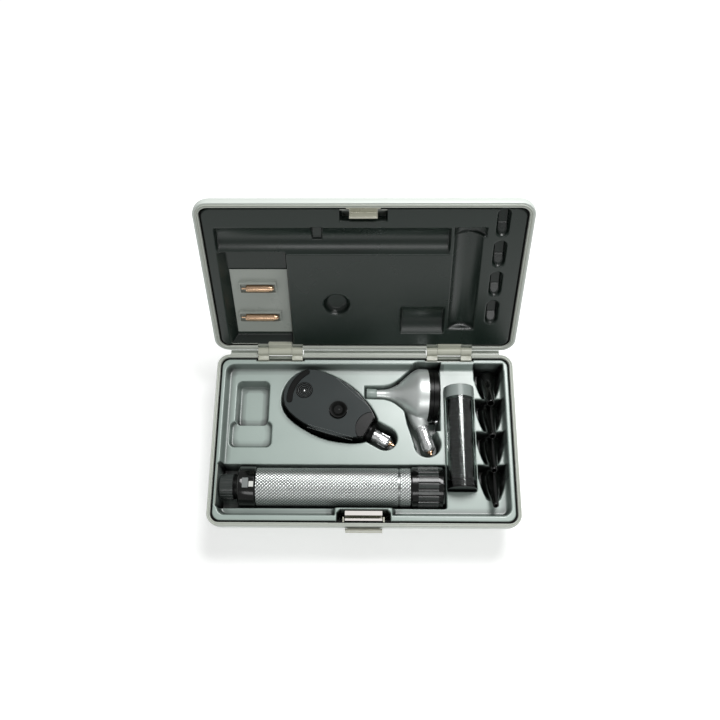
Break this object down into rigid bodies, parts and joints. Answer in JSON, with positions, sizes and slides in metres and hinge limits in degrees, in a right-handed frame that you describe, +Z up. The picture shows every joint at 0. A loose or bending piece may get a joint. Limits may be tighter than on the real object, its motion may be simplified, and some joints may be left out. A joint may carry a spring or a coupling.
{
  "type": "otoscope carry case",
  "caption": "Hinged carry case standing open, with a battery handle, ophthalmoscope and otoscope heads, specula and spare lamps stored in its formed liners.",
  "frame": {"origin": "centre of the base's underside, on the surface it stands on", "axes": "+X along the case towards the specula, +Y from the latch to the hinges, +Z up"},
  "size_m": [0.2282, 0.1989, 0.164],
  "materials": {
    "shell": "satin",
    "rim": "satin",
    "liner_light": "satin",
    "liner_dark": "satin",
    "hinge_paint": "satin",
    "pin_steel": "satin",
    "latch_metal": "satin",
    "tube_chrome": "knurled",
    "black_gloss": "gloss",
    "black_matte": "satin",
    "contact_brass": "satin",
    "white_mark": "matte",
    "cell_metal": "printed sleeve",
    "button_grey": "matte",
    "face_grey": "fine grain",
    "clear_glass": "clear",
    "clear_tube": "clear",
    "plug_chrome": "polished",
    "pin_gold": "polished",
    "body_satin": "satin",
    "nose_grey": "satin",
    "card_grey": "sheet"
  },
  "bodies": {
    "base": {"base_shell": "shell", "base_rim": "rim", "base_liner": "liner_light", "hinge_base_left": "hinge_paint", "hinge_base_right": "hinge_paint", "hinge_pins": "pin_steel", "hinge_rivets": "pin_steel", "latch_bracket": "latch_metal", "latch_pin": "pin_steel", "latch_spring": "pin_steel"},
    "lid": {"lid_shell": "shell", "lid_rim": "rim", "lid_liner": "liner_dark", "hinge_lid_left": "hinge_paint", "hinge_lid_right": "hinge_paint", "lid_catch": "latch_metal"},
    "latch_lever": {"latch_lever": "latch_metal"},
    "handle": {"handle_tube": "tube_chrome", "handle_head": "black_gloss", "handle_contact": "contact_brass", "index_mark": "white_mark", "cell_front": "cell_metal", "cell_rear": "cell_metal", "cell_spring": "pin_steel"},
    "dimmer_ring": {"dimmer_ring": "black_matte"},
    "lock_button": {"lock_button": "button_grey"},
    "end_cap": {"end_cap": "black_gloss"},
    "ophthalmoscope": {"oph_housing": "black_gloss", "oph_face": "face_grey", "oph_brow_rest": "black_matte", "oph_eyepiece": "black_gloss", "oph_lens": "clear_glass", "oph_collar": "black_matte", "oph_connector": "plug_chrome", "oph_lamp_pin": "pin_gold", "oph_dust_patch": "black_matte"},
    "lens_wheel": {"lens_wheel": "black_matte"},
    "aperture_dial": {"aperture_dial": "black_matte"},
    "otoscope": {"oto_body": "body_satin", "oto_nose_ring": "nose_grey", "oto_window_seat": "black_matte", "oto_air_port": "black_matte", "oto_connector": "plug_chrome", "oto_lamp_pin": "pin_gold", "oto_pivot": "plug_chrome"},
    "oto_window": {"oto_window_frame": "black_matte", "oto_window_lens": "clear_glass"},
    "vial": {"vial_tube": "clear_tube", "vial_cap": "black_gloss", "vial_specula": "black_matte"},
    "speculum_1": {"speculum_1": "black_gloss"},
    "speculum_2": {"speculum_2": "black_gloss"},
    "speculum_3": {"speculum_3": "black_gloss"},
    "speculum_4": {"speculum_4": "black_gloss"},
    "lamp_strip": {"blister_card": "card_grey", "spare_lamp_a": "pin_gold", "spare_lamp_b": "pin_gold"}
  },
  "joints": [
    {"name": "lid_hinge", "type": "hinge", "parent": "base", "child": "lid", "pos_m": [0, 0.0677, 0.04115], "axis": [-1, 0, 0], "range_deg": [-114, 0]},
    {"name": "latch_swing", "type": "hinge", "parent": "base", "child": "latch_lever", "pos_m": [0, -0.0607, 0.0324], "axis": [1, 0, 0], "range_deg": [0, 8]},
    {"name": "handle_lift", "type": "slide", "parent": "base", "child": "handle", "axis": [0, 0, 1], "range_m": [0, 0.045]},
    {"name": "dimmer_turn", "type": "hinge", "parent": "handle", "child": "dimmer_ring", "pos_m": [-0.098, -0.0353, 0.0302], "axis": [1, 0, 0], "range_deg": [0, 120]},
    {"name": "button_press", "type": "slide", "parent": "handle", "child": "lock_button", "axis": [0, 0, -1], "range_m": [0, 0.001], "stiffness_N_per_m": 300},
    {"name": "end_cap_turn", "type": "hinge", "parent": "handle", "child": "end_cap", "pos_m": [0.046, -0.0353, 0.0302], "axis": [1, 0, 0], "continuous": true},
    {"name": "ophthalmoscope_lift", "type": "slide", "parent": "base", "child": "ophthalmoscope", "axis": [0, 0, 1], "range_m": [0, 0.04]},
    {"name": "lens_wheel_turn", "type": "hinge", "parent": "ophthalmoscope", "child": "lens_wheel", "pos_m": [-0.02986, 0.02677, 0.032], "axis": [0, 0, 1], "continuous": true},
    {"name": "aperture_turn", "type": "hinge", "parent": "ophthalmoscope", "child": "aperture_dial", "pos_m": [-0.0194, 0.0209, 0.0412], "axis": [0, 0, 1], "continuous": true},
    {"name": "otoscope_lift", "type": "slide", "parent": "base", "child": "otoscope", "axis": [0, 0, 1], "range_m": [0, 0.05]},
    {"name": "window_swing", "type": "hinge", "parent": "otoscope", "child": "oto_window", "pos_m": [0.05087, 0.01785, 0.02455], "axis": [0.9962, -0.007, -0.0872], "range_deg": [0, 60]},
    {"name": "tube_lift", "type": "slide", "parent": "base", "child": "vial", "axis": [0, 0, 1], "range_m": [0, 0.035]},
    {"name": "speculum_1_draw", "type": "slide", "parent": "base", "child": "speculum_1", "axis": [0, -0.5736, 0.8192], "range_m": [0, 0.04]},
    {"name": "speculum_2_draw", "type": "slide", "parent": "base", "child": "speculum_2", "axis": [0, -0.5736, 0.8192], "range_m": [0, 0.04]},
    {"name": "speculum_3_draw", "type": "slide", "parent": "base", "child": "speculum_3", "axis": [0, -0.5736, 0.8192], "range_m": [0, 0.04]},
    {"name": "speculum_4_draw", "type": "slide", "parent": "base", "child": "speculum_4", "axis": [0, -0.5736, 0.8192], "range_m": [0, 0.04]},
    {"name": "lamp_strip_draw", "type": "slide", "parent": "lid", "child": "lamp_strip", "axis": [0, -0.9135, 0.4067], "range_m": [0, 0.02]}
  ]
}
